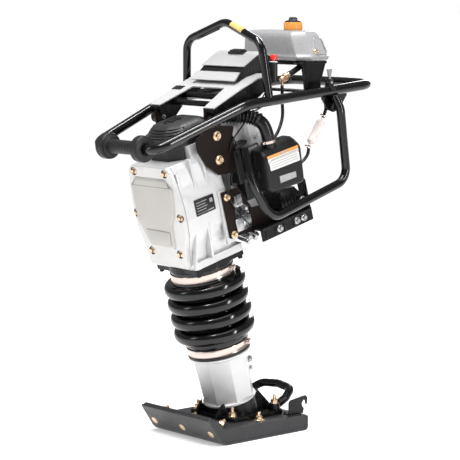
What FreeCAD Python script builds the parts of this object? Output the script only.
import FreeCAD, Part
import math
import os

# Jumping jack rammer: shoe and foot on a leaning leg, crankcase, engine and vibration-isolated handle.
# Millimetres. +Z up, -Y is the travel direction, X = 0 is the machine's middle plane, and the origin
# is where the leg's axis meets the ground under the shoe.
# The leg, the crankcase and the engine lean forward together: they are drawn upright about the leg's
# axis, with "t" to the rear and "s" along the leg, and lean() then tips them. The shoe and the handle
# are drawn level.

LEAN = 15.0                     # lean of the leg's axis from the vertical, degrees

# Shoe
SHOE_HALF = 142.5               # half the shoe's width
SHOE_REAR = 140.0
SHOE_FOLD = -172.0              # where the flat sole turns up
LIP_Y = -222.0                  # top edge of the turned-up lip
LIP_Z = 74.0
SOLE = 6.0                      # wear plate thickness
DECK = 44.0                     # top of the shoe's core
LIP_BOLTS = (-119.0, 0.0, 119.0)
DECK_STUDS = (-112.0, 112.0)
FOOT_TOP = DECK + 12.0          # top of the foot casting's bolt flange
FOOT_STUDS = [(-72.0, -76.0), (72.0, -76.0), (-72.0, 78.0), (72.0, 78.0)]

# Leg
RING_S = 92.0                   # bottom of the spring cylinder's rim
CYL_BOTTOM = 69.0               # radius of the faceted cylinder at its foot
CYL_TOP = 76.0                  # radius of the faceted cylinder at its head
HEAD_S = 232.0                  # top of the facets
HEAD_R = 84.0                   # head that the lower bellows cuff sits on
SLEEVE_R = 60.0                 # sliding sleeve inside the bellows
SLEEVE_TOP = 395.0
GUIDE_GAP = 0.08                # running clearance of sleeve and rod, per side
BELLOWS_LOW = 237.0
BELLOWS_HIGH = 490.0
BELLOWS_R = 113.0
CUFF_R = 85.0
FOLDS = 4
FOLD_TOP = 435.0                # middle of the top fold
FOLD_PITCH = 43.5
FLANGE_S = 493.0                # underside of the black flange plate
CASE_S = 509.0                  # underside of the crankcase
COVER_LOW = 519.0               # lower edge of the front cover
EAR_S = 496.0                   # underside of the flange plate's corners
BASE_OUT = [(-88, -84), (88, -84), (88, 86), (-88, 86)]
BASE_BOLTS = [(-78.0, -74.0), (78.0, -74.0), (-78.0, 76.0), (78.0, 76.0)]
COVER_BOLTS = [(-64, 784), (64, 784), (-91, 664), (91, 664), (-58, 560), (58, 560)]

# Crank drive
CRANK_S = 640.0                 # crank gear axis
MODULE = 2.5
GEAR_TEETH = 50
PINION_TEETH = 14
SHAFT_S = CRANK_S + MODULE * (GEAR_TEETH + PINION_TEETH) / 2.0
CRANK_THROW = 20.0
GRIP_X = -52.0                  # rope guide of the recoil starter
GRIP_S = SHAFT_S + 46.0
HOSE_R = 18.0                   # intake hose
CLEANER = [(-36, -60), (36, -60), (78, -22), (78, 76), (52, 100), (-52, 100), (-78, 76), (-78, -22)]

# Handle
TUBE = 13.5                     # radius of the handle tube
RAIL_BEND = (169.0, -109.0, 908.0)
RAIL_REAR = (177.0, 346.0, 950.0)
ROLLER_Y = -383.0
ROLLER_Z = 801.0
PIVOT_T = 52.0                  # axis of the rubber handle mounts
PIVOT_S = 884.0
ARM_IN = 92.0                   # inner and outer side of the two deck arms
ARM_OUT = 132.0
TANK_LOW = 1014.0               # underside and top of the fuel tank
TANK_TOP = 1096.0
CAP_X = 4.0                     # filler cap
CAP_Y = 206.0
SWITCH_X = 100.0                # stop switch
SWITCH_Y = 46.0
LEVER_Y = 184.0                 # throttle lever's pivot
LEVER_Z = 958.5


def vec(x, y, z):
    return FreeCAD.Vector(x, y, z)


def lean(shape):
    """Tip a shape drawn upright about the leg's axis."""
    tipped = shape.copy()
    tipped.rotate(vec(0, 0, 0), vec(1, 0, 0), LEAN)
    return tipped


def level(t, s):
    """(y, z) of the leaning point (t, s)."""
    angle = math.radians(LEAN)
    return (t * math.cos(angle) - s * math.sin(angle), t * math.sin(angle) + s * math.cos(angle))


def box(x, y, z):
    return Part.makeBox(x[1] - x[0], y[1] - y[0], z[1] - z[0], vec(x[0], y[0], z[0]))


def rod(radius, start, end):
    """Cylinder from one point to another."""
    start = vec(*start)
    way = vec(*end) - start
    return Part.makeCylinder(radius, way.Length, start, way)


def ring(outer, inner, start, end):
    return rod(outer, start, end).cut(rod(inner, start, end))


def cone(low_radius, high_radius, start, end):
    start = vec(*start)
    way = vec(*end) - start
    return Part.makeCone(low_radius, high_radius, way.Length, start, way)


def fuse(pieces):
    """One solid from pieces that overlap."""
    whole = pieces[0].multiFuse(pieces[1:])
    return whole.removeSplitter()


def group(pieces):
    """Separate solids that share one node."""
    return Part.makeCompound(pieces)


def mirror(shape):
    return shape.mirror(vec(0, 0, 0), vec(1, 0, 0))


def both(shape):
    return [shape, mirror(shape)]


def corner_edges(before, corner, after, radius):
    """Two tangent points and the arc between them."""
    back = (before - corner).normalize()
    ahead = (after - corner).normalize()
    turn = math.pi - back.getAngle(ahead)
    cut = radius * math.tan(turn / 2.0)
    first = corner + back * cut
    last = corner + ahead * cut
    inward = (back + ahead).normalize()
    middle = corner + inward * (radius / math.cos(turn / 2.0) - radius)
    return first, Part.Arc(first, middle, last).toShape(), last


def route(points, radii):
    """Open wire of straight runs joined by tangent arcs; one radius per inner point."""
    points = [vec(*p) for p in points]
    edges = []
    start = points[0]
    for i, radius in enumerate(radii, 1):
        first, arc, last = corner_edges(points[i - 1], points[i], points[i + 1], radius)
        edges.append(Part.LineSegment(start, first).toShape())
        edges.append(arc)
        start = last
    edges.append(Part.LineSegment(start, points[-1]).toShape())
    return Part.Wire(edges)


def loop(points, radius):
    """Closed wire of straight runs joined by tangent arcs; a radius of 0 keeps the corners."""
    points = [vec(*p) for p in points]
    if not radius:
        return Part.makePolygon(points + [points[0]])
    count = len(points)
    corners = [corner_edges(points[i - 1], points[i], points[(i + 1) % count], radius) for i in range(count)]
    edges = []
    for i, (first, arc, last) in enumerate(corners):
        edges.append(arc)
        following = corners[(i + 1) % count][0]
        if last.distanceToPoint(following) > 1e-6:
            edges.append(Part.LineSegment(last, following).toShape())
    return Part.Wire(edges)


def slab(outline, axis, low, high, radius=0.0):
    """Flat outline thickened along X, Y or Z; the outline gives the other two coordinates in order."""
    place = {"x": lambda a, b: (low, a, b), "y": lambda a, b: (a, low, b), "z": lambda a, b: (a, b, low)}[axis]
    way = {"x": (high - low, 0, 0), "y": (0, high - low, 0), "z": (0, 0, high - low)}[axis]
    return Part.Face(loop([place(a, b) for a, b in outline], radius)).extrude(vec(*way))


def sweep(path, radius):
    """Round bar along a wire."""
    first = path.OrderedEdges[0]
    start = first.valueAt(first.FirstParameter)
    way = first.tangentAt(first.FirstParameter)
    profile = Part.Wire(Part.makeCircle(radius, start, way))
    return path.makePipeShell([profile], True, False)


def tube(points, radii, outer, inner=0.0):
    """Bent round bar, or bent tube with a bore."""
    path = route(points, radii)
    if not inner:
        return sweep(path, outer)
    return sweep(path, outer).cut(sweep(path, inner))


def turned(profile):
    """Solid turned about the Z axis from (radius, height) points."""
    points = [vec(r, 0, z) for r, z in profile]
    face = Part.Face(Part.makePolygon(points + [points[0]]))
    return face.revolve(vec(0, 0, 0), vec(0, 0, 1), 360)


def soften(shape, radius, keep):
    """Round the edges that keep() picks."""
    return shape.makeFillet(radius, [edge for edge in shape.Edges if keep(edge)])


def along(edge, axis):
    """True for a straight edge that runs along X, Y or Z."""
    if edge.Curve.TypeId != "Part::GeomLine":
        return False
    way = edge.tangentAt(edge.FirstParameter)
    return abs(abs({"x": way.x, "y": way.y, "z": way.z}[axis]) - 1.0) < 1e-6


def hexagon(width, place, height, axis="z"):
    """Hexagonal bar across-flats width, centred on place."""
    radius = width / math.sqrt(3.0)
    corners = [(radius * math.cos(math.radians(60 * i)), radius * math.sin(math.radians(60 * i))) for i in range(6)]
    solid = slab(corners, "z", 0.0, height)
    if axis == "x":
        solid.rotate(vec(0, 0, 0), vec(0, 1, 0), 90)
    if axis == "y":
        solid.rotate(vec(0, 0, 0), vec(1, 0, 0), -90)
    solid.translate(vec(*place))
    return solid


def bolt(place, way, width, head, washer):
    """Hexagon head on a washer; its back is at place and it faces along way (one of the axes)."""
    axis = "xyz"[[abs(c) > 0.5 for c in way].index(True)]
    sign = 1.0 if sum(way) > 0 else -1.0
    middle = vec(*place) + vec(*way) * washer
    base = rod(width * 0.85, place, tuple(middle))
    origin = middle if sign > 0 else middle + vec(*way) * head
    return base.fuse(hexagon(width, tuple(origin), head, axis))


def coil(radius, wire, low, high, turns):
    """Closed-ended compression spring on the Z axis, between two heights."""
    rise = high - low - 2 * wire
    path = Part.makeHelix(rise / turns, rise, radius)
    path.translate(vec(0, 0, low + wire))
    first = path.Edges[0]
    profile = Part.Wire(Part.makeCircle(wire, first.valueAt(first.FirstParameter),
                                        first.tangentAt(first.FirstParameter)))
    return Part.Wire(path.Edges).makePipeShell([profile], True, True)


def gear(teeth, place, thickness, phase):
    """Spur gear facing +Y, with straight-sided teeth and running backlash."""
    pitch = MODULE * teeth / 2.0
    step = 2 * math.pi / teeth
    shape = [(pitch - 1.2 * MODULE, 0.33), (pitch, 0.235), (pitch + 0.9 * MODULE, 0.12)]
    outline = []
    for i in range(teeth):
        middle = phase + i * step
        flank = [(r, middle - half * step) for r, half in shape]
        flank += [(r, middle + half * step) for r, half in reversed(shape)]
        outline += [(place[0] + r * math.sin(a), place[2] + r * math.cos(a)) for r, a in flank]
    return slab(outline, "y", place[1], place[1] + thickness)


# ---- Shoe -----------------------------------------------------------------------------------------

def lip_point(share, off):
    """(y, z) on the lip's outer face, share of the way up it, off outward."""
    rise = math.hypot(LIP_Y - SHOE_FOLD, LIP_Z)
    along_y = (LIP_Y - SHOE_FOLD) / rise
    along_z = LIP_Z / rise
    return (SHOE_FOLD + share * (LIP_Y - SHOE_FOLD) - off * along_z, share * LIP_Z + off * along_y)


def shoe_plate(depth=SOLE):
    """Steel wear plate of the given thickness: flat sole, turned-up lip and a short turned-up rear edge."""
    half = SOLE / 2.0
    lip_low = (SHOE_FOLD + 1.5, half)
    lip_top = lip_point(1.0, -half)
    path = route([(0, SHOE_REAR - half, DECK - 4), (0, SHOE_REAR - half, half),
                  (0,) + lip_low, (0,) + lip_top], [9.0, 34.0])
    profile = loop([(-SHOE_HALF, SHOE_REAR - depth, DECK - 4), (SHOE_HALF, SHOE_REAR - depth, DECK - 4),
                    (SHOE_HALF, SHOE_REAR, DECK - 4), (-SHOE_HALF, SHOE_REAR, DECK - 4)], 0)
    return path.makePipeShell([profile], True, False)


def on_lip(shape, x):
    """Place a shape drawn along +Z so that it starts on the lip's outer face and runs inward."""
    placed = shape.copy()
    slope = math.degrees(math.atan2(SHOE_FOLD - LIP_Y, LIP_Z))
    placed.rotate(vec(0, 0, 0), vec(1, 0, 0), -(90.0 - slope))
    placed.translate(vec(x, *lip_point(0.42, 0.0)))
    return placed


def lip_holes():
    """Countersunk holes for the lip bolts, with room for their washers behind."""
    hole = fuse([rod(5.3, (0, 0, -2.0), (0, 0, 60.0)), cone(11.9, 5.3, (0, 0, -1.2), (0, 0, 5.5)),
                 rod(11.4, (0, 0, 38.2), (0, 0, 60.0))])
    return [on_lip(hole, x) for x in LIP_BOLTS]


def shoe_core():
    """Hard core that fills the plate, with a rounded bead behind the lip."""
    rear = SHOE_REAR - SOLE - 0.2
    bead = lip_point(0.93, -SOLE - 0.4)
    outline = [(rear, SOLE + 0.3), (rear, DECK), (-164.0, DECK), (-179.0, 64.0), (-188.0, 71.0),
               (-198.0, 72.0), bead, lip_point(0.42, -SOLE - 0.4), (-176.0, 11.0), (-164.0, SOLE + 0.3)]
    core = slab(outline, "x", -SHOE_HALF + 1.0, SHOE_HALF - 1.0)
    core = soften(core, 3.0, lambda e: along(e, "x") and e.CenterOfMass.z > DECK - 1 and e.CenterOfMass.y > -195)
    core = core.cut(shoe_plate(SOLE + 0.3))
    for hole in lip_holes():
        core = core.cut(hole)
    for x in DECK_STUDS:
        core = core.cut(rod(5.2, (x, -15.0, 0), (x, -15.0, DECK + 10)))
    return core


def shoe_bolts():
    """Countersunk bolts through the lip with nuts behind the bead, and two through the deck."""
    shank = fuse([rod(5.0, (0, 0, -0.6), (0, 0, 60.0)), cone(11.0, 5.0, (0, 0, -0.6), (0, 0, 5.5)),
                  hexagon(17.0, (0, 0, 41.0), 9.0), rod(11.0, (0, 0, 38.5), (0, 0, 41.0))])
    pieces = [on_lip(shank, x) for x in LIP_BOLTS]
    for x in DECK_STUDS:
        stud = fuse([rod(5.0, (x, -15.0, SOLE + 0.5), (x, -15.0, DECK + 22.0)),
                     rod(16.0, (x, -15.0, DECK), (x, -15.0, DECK + 2.5)),
                     hexagon(17.0, (x, -15.0, DECK + 2.5), 9.0)])
        pieces.append(stud)
    return group(pieces)


# ---- Foot -----------------------------------------------------------------------------------------


def foot_casting():
    """Black casting that seats the leaning cylinder on the flat shoe, with gussets and a bolt flange."""
    base = slab([(-95, -95), (95, -95), (95, 98), (-95, 98)], "z", DECK + 0.2, FOOT_TOP, 20.0)
    collar = lean(rod(72.0, (0, 0, 30), (0, 0, RING_S - 0.2)))
    keep = box((-200, 200), (-200, 200), (DECK + 0.2, 200))
    bore = lean(rod(56.0, (0, 0, 20), (0, 0, RING_S + 10)))
    gussets = []
    for x in (-48.0, 40.0):
        gussets.append(slab([(-112, FOOT_TOP - 2), (-60, FOOT_TOP - 2), (-60, 92), (-86, 88)], "x", x, x + 8))
        gussets.append(slab([(96, FOOT_TOP - 2), (30, FOOT_TOP - 2), (22, 112), (34, 116)], "x", x, x + 8))
    body = fuse([base, collar.common(keep)] + [g.common(keep) for g in gussets])
    clear = lean(rod(75.5, (0, 0, RING_S - 0.2), (0, 0, RING_S + 60)))
    body = body.cut(bore).cut(clear)
    for x, y in FOOT_STUDS:
        body = body.cut(rod(6.5, (x, y, DECK), (x, y, FOOT_TOP + 1)))
        body = body.cut(rod(16.5, (x, y, FOOT_TOP), (x, y, FOOT_TOP + 60)))
    return body


def foot_nuts():
    pieces = []
    for x, y in FOOT_STUDS:
        seat = FOOT_TOP if y < 0 else FOOT_TOP + 16.2
        pieces.append(fuse([rod(5.0, (x, y, DECK + 0.5), (x, y, seat + 24.0)),
                            rod(12.0, (x, y, seat), (x, y, seat + 3.0)),
                            hexagon(19.0, (x, y, seat + 3.0), 10.0)]))
    return group(pieces)


def foot_loop():
    """Bent lifting loop behind the leg, each end flattened into an eye under a stud nut."""
    x, y = FOOT_STUDS[3]
    half = tube([(x, y + 6, FOOT_TOP + 9), (x + 4, y + 38, FOOT_TOP + 27), (x - 12, y + 72, FOOT_TOP + 46),
                 (0, y + 78, FOOT_TOP + 51)], [24.0, 26.0], 11.5)
    eye = rod(16.0, (x, y, FOOT_TOP + 0.2), (x, y, FOOT_TOP + 16.0))
    one = half.fuse(eye)
    whole = fuse([one, mirror(one)])
    whole = whole.common(box((-200, 200), (0, 300), (FOOT_TOP + 0.2, 300)))
    for side in (-x, x):
        whole = whole.cut(rod(6.5, (side, y, FOOT_TOP - 1), (side, y, FOOT_TOP + 40)))
        whole = whole.cut(rod(13.0, (side, y, FOOT_TOP + 16.0), (side, y, FOOT_TOP + 60)))
    return whole


def hook_bracket():
    """Pressed bracket on the shoe's rear corner with a hook for the tie-down."""
    flange = slab([(84, 101), (98, 101), (98, 88), (124, 88), (124, 134), (84, 134)], "z", DECK + 0.2, DECK + 3.2)
    side = slab([(85, DECK + 0.2), (138, DECK + 0.2), (141, 58), (135, 64), (133, 73), (139, 81), (146, 80),
                 (148, 68), (153, 69), (154, 86), (148, 93), (134, 92), (92, 86), (85, 80)], "x", 121.0, 124.0)
    return flange.fuse(side).removeSplitter()


def spring_cylinder():
    """Octagonal aluminium cylinder with a round foot rim, a head for the bellows and a sliding sleeve."""
    def octagon(radius, height):
        corners = [(radius * math.cos(math.radians(22.5 + 45 * i)), radius * math.sin(math.radians(22.5 + 45 * i)),
                    height) for i in range(8)]
        return Part.makePolygon([vec(*c) for c in corners + corners[:1]])
    facets = Part.makeLoft([octagon(CYL_BOTTOM * 1.03, RING_S + 5), octagon(CYL_TOP * 1.03, HEAD_S)], True)
    rim = turned([(0, RING_S), (71, RING_S), (73.5, RING_S + 2.5), (73.5, RING_S + 6.5), (69, RING_S + 10),
                  (0, RING_S + 10)])
    head = turned([(0, HEAD_S - 6), (CYL_TOP, HEAD_S - 6), (HEAD_R + 3, HEAD_S), (HEAD_R + 3, HEAD_S + 5),
                   (HEAD_R - 4, HEAD_S + 6), (HEAD_R - 4, HEAD_S + 34), (66, HEAD_S + 38), (0, HEAD_S + 38)])
    sleeve = rod(SLEEVE_R, (0, 0, HEAD_S), (0, 0, SLEEVE_TOP))
    bore = rod(52.0, (0, 0, RING_S + 14), (0, 0, SLEEVE_TOP - 13))
    rod_hole = rod(15.0 + GUIDE_GAP, (0, 0, SLEEVE_TOP - 14), (0, 0, SLEEVE_TOP + 1))
    foot_spigot = rod(55.7, (0, 0, RING_S - 22), (0, 0, RING_S + 1))
    body = fuse([facets, rim, head, sleeve, foot_spigot]).cut(bore).cut(rod_hole)
    return body.cut(rod(9.1, (26, 65.8, 184), (26, 90, 184))).cut(rod(6.1, (26, 61.8, 158), (26, 90, 158)))


def sight_glass():
    """Oil level window and drain plug on the rear of the cylinder."""
    frame = rod(9.0, (26, 66, 184), (26, 78, 184)).fuse(hexagon(14.0, (26, 78, 184), 4.0, "y"))
    plug = rod(6.0, (26, 62, 158), (26, 72, 158)).fuse(hexagon(12.0, (26, 72, 158), 5.0, "y"))
    return group([frame, plug])


def coil_springs():
    """Upper and lower coil springs on either side of the piston."""
    return coil(42.0, 4.5, 106.3, 236.7, 6.0), coil(42.0, 4.5, 261.3, 381.7, 6.0)


def piston_rod():
    """Piston between the springs, with its rod up to the connecting rod."""
    piston = rod(51.5, (0, 0, 237), (0, 0, 261))
    shaft = rod(15.0, (0, 0, 250), (0, 0, 520))
    fork = box((-18, 18), (-14, 14), (518, 566))
    slot = box((-9.5, 9.5), (-20, 20), (536, 570))
    pin = rod(8.0, (-24, 0, 552), (24, 0, 552))
    return fuse([piston, shaft, fork.cut(slot), pin])


# ---- Bellows --------------------------------------------------------------------------------------

def bellows():
    """Rubber boot with four deep folds."""
    outer = [(CUFF_R, BELLOWS_HIGH - 30)]
    valley = 93.0
    for i in range(FOLDS):
        middle = FOLD_TOP - i * FOLD_PITCH
        for angle in range(90, -91, -30):
            outer.append((valley + (BELLOWS_R - valley) * math.cos(math.radians(angle)),
                          middle + 15.5 * math.sin(math.radians(angle))))
    bottom = HEAD_S + 6.5
    profile = [(r, z) for r, z in outer] + [(CUFF_R, 268), (CUFF_R, bottom), (HEAD_R - 3.9, bottom), (HEAD_R - 3.9, 268)]
    for i in range(FOLDS - 1, -1, -1):
        middle = FOLD_TOP - i * FOLD_PITCH
        profile += [(valley - 5, middle - 16), (BELLOWS_R - 9, middle - 5), (BELLOWS_R - 9, middle + 5),
                    (valley - 5, middle + 16)]
    profile += [(CUFF_R - 5, BELLOWS_HIGH - 33), (CUFF_R - 5, BELLOWS_HIGH), (CUFF_R, BELLOWS_HIGH)]
    return turned(profile)


def band(low, high, radius):
    """Bellows clamp: a flat band with a screw housing on the right front."""
    strip = ring(radius, CUFF_R + 0.2, (0, 0, low), (0, 0, high))
    middle = (low + high) / 2.0
    housing = box((-9, 9), (radius - 2, radius + 7), (middle - 6, middle + 6))
    screw = rod(4.0, (-20, radius + 5, middle), (14, radius + 5, middle))
    lug = housing.fuse(screw)
    lug.rotate(vec(0, 0, 0), vec(0, 0, 1), -60)
    return strip.fuse(lug).removeSplitter()


def guide_tube():
    """Fixed guide inside the bellows: the foot's sleeve runs in it."""
    tube_part = ring(68.0, SLEEVE_R + GUIDE_GAP, (0, 0, 306), (0, 0, FLANGE_S))
    seat = ring(CUFF_R - 5.2, 66.0, (0, 0, 450), (0, 0, FLANGE_S))
    return fuse([tube_part, seat])


# ---- Crankcase ------------------------------------------------------------------------------------


def shield(offset):
    """Front outline of the crankcase, half given and mirrored; offset grows it."""
    half = [(74, 800), (88, 786), (97, 742), (102, 700), (103, 652), (99, 612), (84, 566), (79, 530), (79, CASE_S)]
    right = [(x + offset, s) for x, s in half]
    return right + [(-x, s) for x, s in reversed(right)]


def flange_plate():
    """Black plate under the case: four bolted corners and a round boss over the bellows."""
    plate = slab(BASE_OUT, "z", EAR_S + 0.1, CASE_S - 0.1, 8.0)
    plate = plate.fuse(rod(90.0, (0, 0, FLANGE_S + 0.1), (0, 0, CASE_S - 0.1)))
    return plate.cut(rod(40.0, (0, 0, 480), (0, 0, 520))).removeSplitter()


def flange_bolts():
    """Socket-head bolts under the flange plate's corners."""
    return group([rod(6.5, (x, t, EAR_S - 10), (x, t, EAR_S)) for x, t in BASE_BOLTS])


def crankcase():
    """Aluminium case: shield-shaped body, neck for the air cleaner, ribs, rear clutch seat, base."""
    body = slab(shield(0), "y", -92, 52, 6.0)
    base = slab(BASE_OUT, "z", CASE_S, CASE_S + 20, 8.0)
    foot = slab([(52, CASE_S), (84, CASE_S), (84, CASE_S + 20), (52, CASE_S + 46)], "x", -72, 72)
    neck = slab([(-24, 790), (50, 790), (50, 836), (-24, 836)], "x", -66, 84, 0)
    ribs = []
    for side in (-1, 1):
        for t in (-44, -2, 40):
            low, high = sorted((side * 84, side * 99.7))
            ribs.append(slab([(t, 700), (t + 7, 700), (t + 7, 806), (t, 806)], "x", low, high))
        low, high = sorted((side * 98, side * 107))
        ribs.append(slab([(22, 548), (50, 548), (50, 694), (22, 694)], "x", low, high))
        for s in (568, 673):
            ribs.append(rod(12.0, (side * 80, 44, s), (side * 106, 44, s)))
        for t, s in ((51, 775), (59, 839)):
            ribs.append(rod(13.0, (side * 60, t - 2, s), (side * 99.8, t - 2, s)))
        ribs.append(slab([(30, 740), (52, 740), (70, 800), (72, 852), (30, 852)], "x",
                         *sorted((side * 60, side * 84))))
    whole = fuse([body, base, foot, neck] + ribs + [rod(58.0, (0, 40, SHAFT_S), (0, 70, SHAFT_S))])
    cavity = slab(shield(-12), "y", -93, 38, 0)
    cavity = cavity.common(box((-120, 120), (-100, 60), (CASE_S + 14, 788)))
    whole = whole.cut(cavity)
    whole = whole.fuse(rod(54.0, (0, 13, SHAFT_S), (0, 40, SHAFT_S)))
    whole = whole.cut(rod(40.0, (0, 0, 500), (0, 0, 540)))
    whole = whole.cut(slab([(-96, 527), (-96, 505), (-84, 505)], "x", -100, 100))
    whole = whole.cut(rod(46.0, (0, 22, SHAFT_S), (0, 75, SHAFT_S)))
    whole = whole.cut(rod(22.03, (0, 10, SHAFT_S), (0, 30, SHAFT_S)))
    whole = whole.cut(slab([(x * 1.004, t) for x, t in CLEANER], "z", 835.9, 900))
    return whole.cut(box((-46, 46), (-14, 40), (780, 840))).removeSplitter()


def front_cover():
    """Cover over the gear, with a raised panel and a chamfered rim."""
    rim = slab([(x, max(s, COVER_LOW)) for x, s in shield(-2)], "y", -106, -92.2, 6.0)
    rim = rim.makeChamfer(2.0, [e for e in rim.Edges if abs(e.CenterOfMass.y + 106) < 0.01])
    panel = slab([(58, 762), (-58, 762), (-82, 740), (-86, 650), (-50, 574), (44, 574), (50, 640), (72, 680),
                  (82, 740)], "y", -110, -105, 5.0)
    cover = fuse([rim, panel])
    cover = cover.fuse(ring(31.0, 24.03, (0, -94, CRANK_S), (0, -84, CRANK_S)))
    for x, s in COVER_BOLTS:
        cover = cover.cut(rod(11.5, (x, -112, s), (x, -102, s)))
    return cover.removeSplitter()


def case_bolts():
    """Gold-plated flange bolts: cover front, and the two brackets on each side."""
    pieces = [bolt((x, -102.1, s), (0, -1, 0), 13.0, 7.0, 2.5) for x, s in COVER_BOLTS]
    for t, s in ((51, 775), (59, 839), (44, 568), (44, 673)):
        face = 106.0 if s > 700 else 112.3
        pieces += both(bolt((face, t, s), (1, 0, 0), 15.0, 7.0, 3.0))
    return group(pieces)


def upper_brackets():
    """Plates from the crankcase shoulder to the engine, with the ear of the handle's rubber mount."""
    outline = [(-12, 850), (30, 862), (34, 905), (70, 905), (76, 862), (122, 846), (106, 812), (126, 766),
               (96, 752), (114, 722), (40, 736), (6, 772), (-12, 814)]
    plate = slab(outline, "x", 100.0, 106.0, 5.0)
    plate = plate.cut(rod(16.05, (90, PIVOT_T, PIVOT_S), (115, PIVOT_T, PIVOT_S)))
    return group(both(plate))


def lower_brackets():
    """Plates from the crankcase's rear flange to the engine base."""
    outline = [(30, 690), (90, 686), (122, 618), (151, 614), (190, 556), (178, 545), (70, 560), (30, 560)]
    plate = slab(outline, "x", 107.2, 112.2, 4.0)
    window = slab([(96, 640), (78, 672), (62, 660), (64, 604), (112, 604), (116, 622)], "x", 100, 120, 5.0)
    tie = rod(8.0, (99.1, 160, 571.5), (107.3, 160, 571.5))
    return group(both(plate.cut(window).fuse(tie)))


# ---- Crank drive ----------------------------------------------------------------------------------

def crank_gear():
    """Crank gear on its stub shaft."""
    wheel = gear(GEAR_TEETH, (0, -80, CRANK_S), 20.0, 0.0)
    shaft = rod(17.0, (0, -91, CRANK_S), (0, -50, CRANK_S))
    return fuse([wheel, shaft])


def clutch_drum():
    """Clutch drum with the pinion that drives the crank gear."""
    start = math.pi + (math.pi / PINION_TEETH)
    pinion = gear(PINION_TEETH, (0, -81, SHAFT_S), 22.0, start)
    shaft = rod(11.0, (0, -90, SHAFT_S), (0, 24, SHAFT_S))
    drum = rod(43.0, (0, 24, SHAFT_S), (0, 56, SHAFT_S)).cut(rod(39.0, (0, 28, SHAFT_S), (0, 60, SHAFT_S)))
    return fuse([pinion, shaft, drum])


def bearings():
    """Crank bearings and the pinion shaft bearing."""
    return group([ring(24.0, 17.05, (0, -92, CRANK_S), (0, -84, CRANK_S)),
                  ring(22.0, 11.05, (0, 13, SHAFT_S), (0, 21.5, SHAFT_S))])


def con_rod():
    """Connecting rod on its crank pin, top dead centre."""
    top = CRANK_S + CRANK_THROW
    body = slab([(-9, 552), (9, 552), (12, top), (-12, top)], "y", -9, 9)
    big = rod(22.0, (0, -11, top), (0, 11, top))
    small = rod(16.0, (0, -9, 552), (0, 9, 552))
    small.rotate(vec(0, 0, 552), vec(0, 0, 1), 90)
    small = small.common(box((-9, 9), (-30, 30), (500, 600)))
    pin = rod(11.0, (0, -48, top), (0, 11.5, top))
    rod_body = fuse([body.common(box((-9, 9), (-30, 30), (500, 640))), big, small, pin,
                     box((-9, 9), (-9, 9), (600, top))])
    return rod_body.cut(rod(8.05, (-30, 0, 552), (30, 0, 552)))


# ---- Engine ---------------------------------------------------------------------------------------

def engine_block():
    """Engine crankcase with a side sump, a finned upright cylinder and its head."""
    case = slab([(-72, 584), (72, 584), (76, 640), (76, 764), (-76, 764), (-76, 640)], "y", 96, 214, 8.0)
    nose = rod(45.0, (0, 72, SHAFT_S), (0, 100, SHAFT_S))
    feet = box((-80, 80), (100, 212), (568, 588))
    barrel = rod(34.0, (0, 156, 760), (0, 156, 822))
    fins = [box((-54, 54), (106, 206), (s, s + 3.2)) for s in range(768, 822, 8)]
    head = box((-50, 50), (110, 202), (820, 833))
    sump = slab([(204, 568), (282, 568), (282, 602), (258, 632), (204, 640)], "x", 70, 142, 5.0)
    whole = fuse([case, nose, feet, barrel, head, sump] + fins)
    whole = whole.cut(rod(41.0, (0, 60, SHAFT_S), (0, 97, SHAFT_S)))
    return whole.cut(rod(12.05, (0, 90, SHAFT_S), (0, 260, SHAFT_S)))


def engine_shaft():
    """Engine crankshaft with clutch shoes in front and flywheel fan behind."""
    shaft = rod(12.0, (0, 32, SHAFT_S), (0, 250, SHAFT_S))
    shoes = rod(37.5, (0, 34, SHAFT_S), (0, 52, SHAFT_S))
    web = rod(30.0, (0, 52, SHAFT_S), (0, 58, SHAFT_S))
    wheel = rod(74.0, (0, 222, SHAFT_S), (0, 238, SHAFT_S))
    blades = []
    for i in range(12):
        blade = box((-1.5, 1.5), (236, 248), (34, 72))
        blade.rotate(vec(0, 0, 0), vec(0, 1, 0), 30.0 * i)
        blade.translate(vec(0, 0, SHAFT_S))
        blades.append(blade)
    return fuse([shaft, shoes, web, wheel] + blades)


def engine_shroud():
    """Silver fan shroud over the cylinder and round the flywheel."""
    hood = box((-70, 74), (106, 222), (768, 842))
    hood = soften(hood, 14.0, lambda e: along(e, "y") and e.CenterOfMass.z > 800)
    hood = soften(hood, 8.0, lambda e: along(e, "x") and e.CenterOfMass.z > 838)
    inner = box((-66, 70), (100, 219), (760, 838))
    scroll = rod(88.0, (0, 217, SHAFT_S), (0, 252, SHAFT_S)).cut(rod(84.0, (0, 219, SHAFT_S), (0, 255, SHAFT_S)))
    scroll = scroll.cut(rod(16.0, (0, 210, SHAFT_S), (0, 222, SHAFT_S)))
    return hood.cut(inner).fuse(scroll).removeSplitter()


def recoil_housing():
    """Recoil starter cover with air slots and a rope guide."""
    lid = rod(88.0, (0, 252.2, SHAFT_S), (0, 278, SHAFT_S))
    lid = soften(lid, 9.0, lambda e: abs(e.CenterOfMass.y - 278) < 0.01 and e.Length > 100)
    lid = lid.cut(rod(82.0, (0, 250, SHAFT_S), (0, 272, SHAFT_S)))
    for i in range(16):
        slot = slab([(-3, 40), (3, 40), (5, 70), (-5, 70)], "y", 270, 282)
        slot.rotate(vec(0, 0, 0), vec(0, 1, 0), 22.5 * i)
        slot.translate(vec(0, 0, SHAFT_S))
        lid = lid.cut(slot)
    lid = lid.fuse(rod(12.0, (GRIP_X, 272, GRIP_S), (GRIP_X, 290, GRIP_S)))
    return lid.cut(rod(4.0, (GRIP_X, 268, GRIP_S), (GRIP_X, 292, GRIP_S))).removeSplitter()


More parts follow.
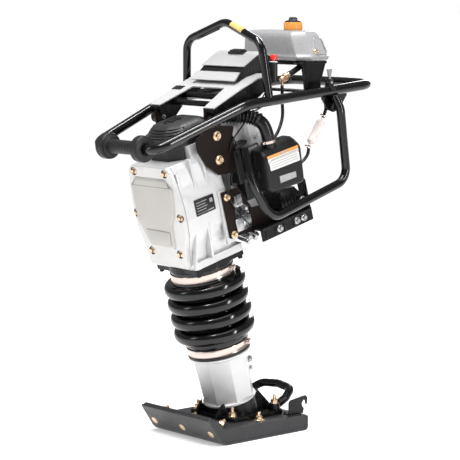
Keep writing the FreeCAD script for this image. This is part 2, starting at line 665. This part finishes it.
def starter_grip():
    """Pull grip on its rope."""
    grip = box((GRIP_X - 18, GRIP_X + 18), (290.4, 308), (GRIP_S - 9, GRIP_S + 9))
    grip = soften(grip, 5.0, lambda e: along(e, "x"))
    rope = rod(2.5, (GRIP_X, 256, GRIP_S), (GRIP_X, 294, GRIP_S))
    return grip.fuse(rope)


def muffler():
    """Muffler on the left with its outlet."""
    can = box((-150, -92), (132, 222), (724, 806))
    can = soften(can, 14.0, lambda e: along(e, "y"))
    stub = rod(9.0, (-94, 160, 752), (-76.2, 160, 752))
    outlet = rod(9.0, (-136, 208, 745), (-136, 240, 745))
    return fuse([can, stub, outlet]).cut(rod(7.0, (-136, 226, 745), (-136, 244, 745)))


def carburetor():
    """Carburetor between the engine and the air box."""
    body = box((84, 104), (176, 212), (712, 748))
    neck = rod(14.0, (76.2, 194, 730), (118, 194, 730))
    bowl = rod(14.0, (94, 194, 692), (94, 194, 714))
    return fuse([body, neck, bowl])


def air_box():
    """Intake box with a sloped top, a rounded face and a pipe for the intake hose."""
    face = 180.0
    body = slab([(146, 768), (198, 777), (280, 774), (269, 646), (138, 656)], "x", 118.2, face, 13.0)
    body = body.cut(slab([(130, 793), (190, 744), (190, 800), (130, 800)], "y", 100, 300))
    body = body.makeFillet(5.0, [e for e in body.Edges if abs(e.CenterOfMass.x - face) < 0.01])
    pipe = rod(16.0, (150, 193, 746), (150, 193, 778))
    return fuse([body, pipe])


def engine_base():
    """Channel that the engine stands on."""
    plate = box((-150, 150), (108, 296), (558, 563))
    for slot in both(box((106.9, 112.5), (100, 200), (557, 564))):
        plate = plate.cut(slot)
    sides = [box((144, 150), (108, 296), (528, 560)), box((-150, -144), (108, 296), (528, 560)),
             box((-150, 150), (290, 296), (532, 560))]
    rail = [box((88, 98.8), (120, 200), (552, 560)), box((-98.8, -88), (120, 200), (552, 560))]
    pads = [box((low, low + 36), (104, 208), (563, 567.9)) for low in (-80, 44)]
    lugs = both(box((97, 99), (150, 172), (550, 580)))
    tab = slab([(118, 545), (148, 545), (148, 640), (140, 652), (126, 652), (118, 640)], "y", 290, 296)
    lugs.append(tab.cut(rod(4.5, (133, 285, 636), (133, 300, 636))))
    return fuse([plate] + sides + rail + pads + lugs)


# ---- Air cleaner ----------------------------------------------------------------------------------


def cleaner_base():
    """Air cleaner floor on the crankcase neck, with a deep skirt in front of it."""
    tray = slab(CLEANER, "z", 836.2, 852, 12.0)
    front = slab([(-36, -60), (36, -60), (74, -26.2), (-74, -26.2)], "z", 801.5, 840, 4.0)
    return fuse([tray, front]).cut(box((-46, 46), (-14, 40), (830, 846)))


def cleaner_cover():
    """Domed air cleaner cover with louvres at the front and a clip on top."""
    def outline(share, height):
        return loop([(x * share, (t - 18) * share + 18, height) for x, t in CLEANER], 10.0)
    dome = Part.makeLoft([outline(1.0, 852.3), outline(0.9, 868), outline(0.68, 886), outline(0.5, 891)], True, True)
    louvres = [slab([(-36, -56 + 7 * i), (36, -56 + 7 * i), (66, -26), (-66, -26)], "z", 862 + 7 * i, 865 + 7 * i)
               for i in range(3)]
    clip = fuse([box((-14, 14), (-10, 34), (888, 896)), box((-9, 9), (-20, -6), (884, 893))])
    outlet = rod(HOSE_R, (32.2, 87.7, 880.4), (52, 112, 875))
    return fuse([dome, clip, outlet] + louvres)


def intake_hose():
    """Corrugated intake hose from the air cleaner to the air box."""
    points = [(52.3, 112.3, 874.9), (83.3, 150.3, 866.4), (150, 193, 842), (150, 193, 778.3)]
    return tube(points, [40.0, 34.0], HOSE_R)


# ---- Handle ---------------------------------------------------------------------------------------

def handle_frame(radius=TUBE):
    """Closed loop of tube: front axle for the roller, two side rails and the rear grip bar."""
    half = [(0, ROLLER_Y, ROLLER_Z), (131, ROLLER_Y, ROLLER_Z), RAIL_BEND, RAIL_REAR, (0,) + RAIL_REAR[1:]]
    one = tube(half, [42.0, 200.0, 44.0], radius)
    return fuse([one, mirror(one)])


def roller():
    """Front roller: rubber sleeve and two collars."""
    sleeve = ring(18.5, TUBE + 0.1, (-52, ROLLER_Y, ROLLER_Z), (52, ROLLER_Y, ROLLER_Z))
    collars = []
    for x in (-86.0, 52.0):
        disc = ring(35.0, TUBE + 0.1, (x, ROLLER_Y, ROLLER_Z), (x + 34, ROLLER_Y, ROLLER_Z))
        collars.append(disc)
    return fuse([sleeve] + collars)


def lifting_arch():
    """Peaked lifting hoop over the machine's balance point, with a wear rod under the peak."""
    foot = (RAIL_BEND[0] + 1.5, -32, 918)
    shoulder = (153, -46, 1069)
    peak = (0, -38, 1122)
    across = [(-x, y, z) for x, y, z in (shoulder, foot)]
    hoop = tube([foot, shoulder, peak] + across, [46.0, 60.0, 46.0], 11.0)
    wear = rod(4.0, (-110, -43, 1075.0), (-26, -40, 1103))
    return hoop.cut(handle_frame(TUBE + 0.2)).fuse(wear).removeSplitter()


def guard_loop():
    """Side guard round the air box, hung from a gusset on the right rail."""
    x = 190.0
    bar = tube([(x - 12, 200, 920), (x, 210, 886), (x, 236, 692), (x, -40, 604), (x - 12, -100, 700),
                (138, -94, 790)], [60.0, 44.0, 44.0, 90.0], 12.0)
    gusset = slab([(160, 918), (262, 928), (228, 882), (206, 876), (188, 882)], "x", 162.0, 166.0, 4.0)
    web = box((164, 184), (190, 222), (884, 904))
    return fuse([bar, gusset, web])


def side_frame():
    """Black steel fork under the deck: two channels, two cross tubes, a rear cross plate and rail tabs."""
    side = [(46, 893), (44, 916), (150, 938), (215, 948), (262, 944), (262, 925), (210, 903), (120, 884)]
    cheek = [(46, 866), (44, 916), (150, 938), (215, 948), (215, 925), (140, 905), (80, 866)]
    top = [(44, 912), (150, 934), (215, 944), (215, 947), (150, 937), (44, 915)]
    nose = [(44, 907), (48, 907), (48, 916), (44, 916)]
    strips = [(side, ARM_OUT - 3, ARM_OUT, 4.0), (cheek, ARM_IN - 1, ARM_IN + 3, 4.0), (top, ARM_IN, ARM_OUT, 0.0),
              (nose, ARM_IN, ARM_OUT, 0.0)]
    arm = fuse([slab([level(t, s) for t, s in outline], "x", low, high, radius)
                for outline, low, high, radius in strips])
    pieces = both(arm)
    for t, s, radius in ((135, 921, 9.0), (98, 912, 8.0)):
        y, z = level(t, s)
        pieces.append(rod(radius, (-ARM_IN, y, z), (ARM_IN, y, z)))
    y, z = level(236, 936)
    pieces.append(box((-ARM_OUT, ARM_OUT), (y - 16, y + 16), (z - 3, z + 3)))
    for low, height in ((-118.0, 898.0), (-60.0, 914.5)):
        pieces += both(box((ARM_OUT - 3, RAIL_BEND[0] - 6), (low, low + 20), (height, height + 8)))
    frame = fuse(pieces).cut(handle_frame(TUBE + 0.2))
    return frame.cut(lean(rod(7.0, (-140, PIVOT_T, PIVOT_S), (140, PIVOT_T, PIVOT_S))))


def deck_cover():
    """Pale deck panel: two arms that join behind into one plate."""
    outline = [(-ARM_OUT, 44), (-ARM_IN, 44), (-66, 150), (66, 150), (ARM_IN, 44), (ARM_OUT, 44), (ARM_OUT, 256),
               (-ARM_OUT, 256)]
    face = slab(outline, "z", 860, 1000, 3.0)
    layer = slab([(43, 916.4), (150, 938.4), (215, 948.4), (257, 948.4), (257, 951.4), (215, 951.6), (150, 941.6),
                  (43, 919.6)], "x", -200, 200)
    return lean(face.common(layer))


def hood():
    """Black upper housing on the deck."""
    side = [(172, 951.8), (196, 968), (216, 979), (278, 998), (300, 992), (330, 966), (300, 956), (258, 951.8)]
    return lean(slab(side, "x", -84, 84, 3.0))


def hood_panels():
    """Pale panels on the housing: a low front panel and a large top panel."""
    low = slab([(170, 953.4), (192.5, 968.6), (195, 971.6), (190, 971.6), (168, 956)], "x", -89, 89)
    top = slab([(213, 980.6), (278, 1000.4), (298, 995.4), (298, 998.4), (279, 1003.4), (211, 983.2)], "x", -86, 86)
    return lean(group([low, top]))


def hood_latch():
    """Spring latch across the top of the housing."""
    catch = box((-32, 32), (262, 284), (1003.7, 1011))
    catch.rotate(vec(0, 273, 1003.7), vec(1, 0, 0), 4)
    return lean(soften(catch, 3.0, lambda e: e.CenterOfMass.z > 1009.5))


def fuel_tank():
    """Moulded tank with chamfered corners, a sloping right end and a rounded crown."""
    def section(left, right, front, rear, height, chamfer):
        return loop([(left, front + chamfer, height), (left + chamfer, front, height), (right - chamfer, front, height),
                     (right, front + chamfer, height), (right, rear - chamfer, height),
                     (right - chamfer, rear, height), (left + chamfer, rear, height),
                     (left, rear - chamfer, height)], 9.0)
    levels = [section(-136, 122, 138, 244, TANK_LOW, 26), section(-148, 130, 128, 252, TANK_LOW + 12, 26),
              section(-145, 112, 131, 246, TANK_TOP - 18, 25), section(-136, 102, 138, 238, TANK_TOP - 5, 24),
              section(-126, 94, 146, 230, TANK_TOP, 22)]
    shell = Part.makeLoft(levels, True, True)
    neck = rod(21.0, (CAP_X, CAP_Y, TANK_TOP - 4), (CAP_X, CAP_Y, TANK_TOP + 6))
    outlet = rod(8.0, (84, 156, TANK_LOW - 16), (84, 156, TANK_LOW + 4))
    elbow = rod(8.0, (84, 160, TANK_LOW - 16), (84, 116, TANK_LOW - 36))
    return fuse([shell, neck, outlet, elbow])


def fuel_cap():
    """Screw cap with a ribbed ring and a knob."""
    skirt = ring(26.5, 21.4, (CAP_X, CAP_Y, TANK_TOP + 0.5), (CAP_X, CAP_Y, TANK_TOP + 12))
    top = rod(26.5, (CAP_X, CAP_Y, TANK_TOP + 6.4), (CAP_X, CAP_Y, TANK_TOP + 22))
    knob = cone(22.0, 15.0, (CAP_X, CAP_Y, TANK_TOP + 22), (CAP_X, CAP_Y, TANK_TOP + 36))
    return fuse([skirt, top, knob])


def tank_brackets():
    """Two trapezoid legs that carry the tank on a cross bar between the rails."""
    leg = slab([(150, 1013.7), (226, 1013.7), (206, 955), (206, 934), (160, 934), (158, 955)], "x", 108, 112, 3.0)
    bar = box((-164.0, 164.0), (160, 206), (928, 934)).cut(rod(8.0, (150, 194.5, 920), (150, 194.5, 940)))
    seat = box((94, 112), (150, 226), (1010.7, 1013.7))
    return fuse(both(leg) + both(seat) + [bar]).cut(handle_frame(TUBE + 0.2))


def fuel_valve():
    """Brass tap screwed on the tank's outlet, with its hose barb."""
    body = rod(7.5, (84, 115.8, TANK_LOW - 36.1), (84, 88, 964))
    nut = rod(11.0, (84, 106, 972.5), (84, 98, 969))
    barb = rod(4.0, (84, 92, 968), (84, 92, 950))
    return fuse([body, nut, barb])


def control_housing():
    """Stop switch body on a stay from the arch."""
    body = rod(11.0, (SWITCH_X, SWITCH_Y, 962), (SWITCH_X, SWITCH_Y, 1014))
    stay = box((SWITCH_X - 4, SWITCH_X + 4), (2.3, SWITCH_Y), (962.5, 967.5))
    stem_hole = rod(5.1, (SWITCH_X, SWITCH_Y, 996), (SWITCH_X, SWITCH_Y, 1020))
    return fuse([body, stay]).cut(stem_hole)


def throttle_clevis():
    """Clamp on the right rail with two ears for the throttle lever's pin."""
    slope = (RAIL_REAR[2] - RAIL_BEND[2]) / (RAIL_REAR[1] - RAIL_BEND[1])
    drift = (RAIL_REAR[0] - RAIL_BEND[0]) / (RAIL_REAR[1] - RAIL_BEND[1])

    def on_rail(y):
        run = y - RAIL_BEND[1]
        return (RAIL_BEND[0] + drift * run, y, RAIL_BEND[2] + slope * run)
    clamp = ring(TUBE + 3.5, TUBE + 0.1, on_rail(LEVER_Y - 9), on_rail(LEVER_Y + 9))
    ears = [box((low, low + 4), (LEVER_Y - 8, LEVER_Y + 8), (LEVER_Z - 9, LEVER_Z + 9)) for low in (165.4, 176.6)]
    clamp = clamp.common(box((140, 210), (LEVER_Y - 20, LEVER_Y + 20), (LEVER_Z - 24, LEVER_Z)))
    body = fuse([clamp] + ears).cut(rod(TUBE + 0.1, on_rail(LEVER_Y - 40), on_rail(LEVER_Y + 40)))
    return body.cut(rod(4.1, (160, LEVER_Y, LEVER_Z), (190, LEVER_Y, LEVER_Z)))


def stop_button():
    """Mushroom stop button."""
    stem = rod(5.0, (SWITCH_X, SWITCH_Y, 1001), (SWITCH_X, SWITCH_Y, 1024))
    head = rod(9.5, (SWITCH_X, SWITCH_Y, 1020), (SWITCH_X, SWITCH_Y, 1034))
    return stem.fuse(head)


def throttle_lever():
    """Throttle lever that tips fore and aft on the right rail."""
    blade = slab([(179, LEVER_Z), (189, LEVER_Z), (187, 972), (192, 994), (176, 994), (181, 972)], "x", 170, 176)
    boss = rod(5.8, (170, LEVER_Y, LEVER_Z), (176, LEVER_Y, LEVER_Z))
    pin = rod(4.0, (163, LEVER_Y, LEVER_Z), (183, LEVER_Y, LEVER_Z))
    return fuse([blade, boss, pin])


def fuel_hose():
    """Hose from the tap down to the carburetor."""
    points = [(84, 92, 949.7), (86, 91, 905), (98, 80, 862), (108, 52, 822), (108, 24, 800)]
    return tube(points, [70.0, 60.0, 50.0], 4.5)


def return_hose():
    """Hose from the tank through the inline filter to the air box side, in two lengths."""
    upper = tube([(150, 200, 948), (150, 190, 915), (150, 193, 885), (148, 184.4, 861)], [60.0, 60.0], 4.5)
    lower = tube([(148, 133, 785.6), (148, 128, 764), (147, 116, 750), (146, 102, 741)], [22.0, 22.0], 4.5)
    return group([upper, lower])


def fuel_filter():
    """Clear inline filter with a barb at each end."""
    start = vec(148, 183.4, 859.0)
    end = vec(148, 133.6, 787.0)
    step = (end - start) * 0.12
    barrel = rod(12.5, tuple(start + step), tuple(end - step))
    return barrel.fuse(rod(4.0, tuple(start), tuple(end)))


def mount_rubbers():
    rubbers = []
    for x in (-1, 1):
        low, high = sorted((x * 99.0, x * 120.0))
        rubbers.append(ring(16.0, 7.0, (low, PIVOT_T, PIVOT_S), (high, PIVOT_T, PIVOT_S)))
    return lean(group(rubbers))


def mount_pins():
    """Pivot bolts that tie the deck's fork to the rubber mounts."""
    pins = []
    for x in (-1, 1):
        low, high = sorted((x * 91.0, x * 136.0))
        pins.append(rod(6.95, (low, PIVOT_T, PIVOT_S), (high, PIVOT_T, PIVOT_S)))
    return lean(group(pins))


def main():
    os.makedirs("parts", exist_ok=True)
    lower_spring, upper_spring = coil_springs()
    nodes = {
        "shoe_plate": shoe_plate().cut(lip_holes()),
        "shoe_core": shoe_core(),
        "shoe_bolts": shoe_bolts(),
        "foot_casting": foot_casting(),
        "foot_nuts": foot_nuts(),
        "foot_loop": foot_loop(),
        "hook_bracket": hook_bracket(),
        "spring_cylinder": lean(spring_cylinder()),
        "sight_glass": lean(sight_glass()),
        "lower_spring": lean(lower_spring),
        "upper_spring": lean(upper_spring),
        "lower_band": lean(band(246, 267, CUFF_R + 3.0)),
        "piston_rod": lean(piston_rod()),
        "bellows": lean(bellows()),
        "upper_band": lean(band(461, 482, CUFF_R + 2.5)),
        "guide_tube": lean(guide_tube()),
        "flange_plate": lean(flange_plate()),
        "flange_bolts": lean(flange_bolts()),
        "crankcase": lean(crankcase()),
        "front_cover": lean(front_cover()),
        "case_bolts": lean(case_bolts()),
        "upper_brackets": lean(upper_brackets()),
        "lower_brackets": lean(lower_brackets()),
        "crank_gear": lean(crank_gear()),
        "clutch_drum": lean(clutch_drum()),
        "bearings": lean(bearings()),
        "con_rod": lean(con_rod()),
        "engine_block": lean(engine_block()),
        "engine_shaft": lean(engine_shaft()),
        "engine_shroud": lean(engine_shroud()),
        "recoil_housing": lean(recoil_housing()),
        "starter_grip": lean(starter_grip()),
        "muffler": lean(muffler()),
        "carburetor": lean(carburetor()),
        "air_box": lean(air_box()),
        "engine_base": lean(engine_base()),
        "cleaner_base": lean(cleaner_base()),
        "cleaner_cover": lean(cleaner_cover()),
        "intake_hose": lean(intake_hose()),
        "handle_frame": handle_frame(),
        "roller": roller(),
        "lifting_arch": lifting_arch(),
        "guard_loop": guard_loop(),
        "side_frame": side_frame(),
        "deck_cover": deck_cover(),
        "hood": hood(),
        "hood_panels": hood_panels(),
        "hood_latch": hood_latch(),
        "fuel_tank": fuel_tank(),
        "fuel_cap": fuel_cap(),
        "tank_brackets": tank_brackets(),
        "fuel_valve": fuel_valve(),
        "control_housing": group([control_housing(), throttle_clevis()]),
        "stop_button": stop_button(),
        "throttle_lever": throttle_lever(),
        "fuel_hose": fuel_hose(),
        "return_hose": return_hose(),
        "fuel_filter": fuel_filter(),
        "mount_rubbers": mount_rubbers(),
        "mount_pins": mount_pins(),
    }
    for node, shape in nodes.items():
        shape.exportStep("parts/%s.step" % node)
        print("%-18s %3d solids %10.0f mm3 %s" % (node, len(shape.Solids), shape.Volume, shape.isValid()))


main()
